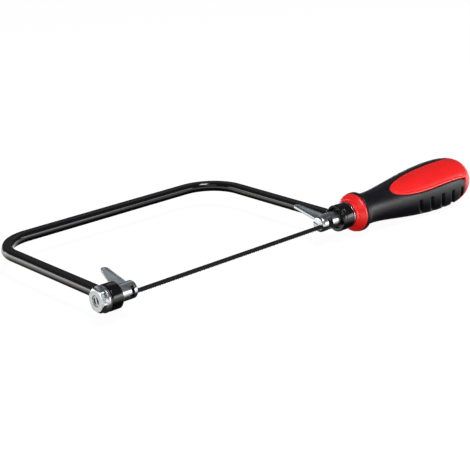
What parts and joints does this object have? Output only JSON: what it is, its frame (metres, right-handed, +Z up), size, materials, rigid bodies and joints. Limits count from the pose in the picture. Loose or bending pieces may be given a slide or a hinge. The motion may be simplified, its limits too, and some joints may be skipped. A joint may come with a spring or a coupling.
{
  "type": "coping saw",
  "caption": "Coping saw: a bent rod frame with slotted spigots that hold and turn a fine blade, positioning levers, and a screw handle that tensions it.",
  "frame": {"origin": "bottom centre of the bounding box, with the saw lying flat", "axes": "+X from the nose nut to the handle butt, along the spigot axis; +Y from the blade to the back of the frame; +Z up, square to the frame"},
  "size_m": [0.3274, 0.1486, 0.0352],
  "materials": {
    "black_paint": "gloss black enamel",
    "zinc_plate": "bright zinc plate, slightly blue",
    "blued_steel": "dark oxide",
    "blade_steel": "black oxide, oiled",
    "brass_insert": "turned",
    "red_plastic": "gloss moulded",
    "soft_grip": "matt soft overmould"
  },
  "bodies": {
    "frame": {"frame_bow": "black_paint", "front_barrel": "black_paint", "rear_barrel": "black_paint"},
    "blade_holder": {"front_spigot": "zinc_plate", "front_lever": "zinc_plate", "front_washer": "blued_steel", "front_nut": "zinc_plate", "blade": "blade_steel", "front_blade_pin": "blade_steel", "rear_blade_pin": "blade_steel"},
    "tension_washer": {"friction_washer": "blued_steel"},
    "rear_holder": {"rear_spigot": "zinc_plate", "rear_lever": "zinc_plate"},
    "handle": {"thrust_washer": "zinc_plate", "draw_nut": "brass_insert", "handle_core": "red_plastic", "handle_collar": "red_plastic", "grip_sleeve": "soft_grip"}
  },
  "joints": [
    {"name": "blade_turn", "type": "hinge", "parent": "frame", "child": "blade_holder", "pos_m": [-0.15435, -0.0567, 0.0176], "axis": [1, 0, 0], "continuous": true},
    {"name": "handle_screw", "type": "hinge", "parent": "frame", "child": "handle", "pos_m": [0.04565, -0.0567, 0.0176], "axis": [1, 0, 0], "range_deg": [0, 600]},
    {"name": "tension_slide", "type": "slide", "parent": "frame", "child": "tension_washer", "axis": [1, 0, 0], "range_m": [-0.0021, 0]},
    {"name": "rear_holder_turn", "type": "hinge", "parent": "tension_washer", "child": "rear_holder", "pos_m": [0.03165, -0.0567, 0.0176], "axis": [1, 0, 0], "continuous": true}
  ],
  "couplings": [
    {"joint": "rear_holder_turn", "follows": "blade_turn", "ratio": 1},
    {"joint": "tension_slide", "follows": "handle_screw", "m_per_rad": -0.00019894}
  ]
}
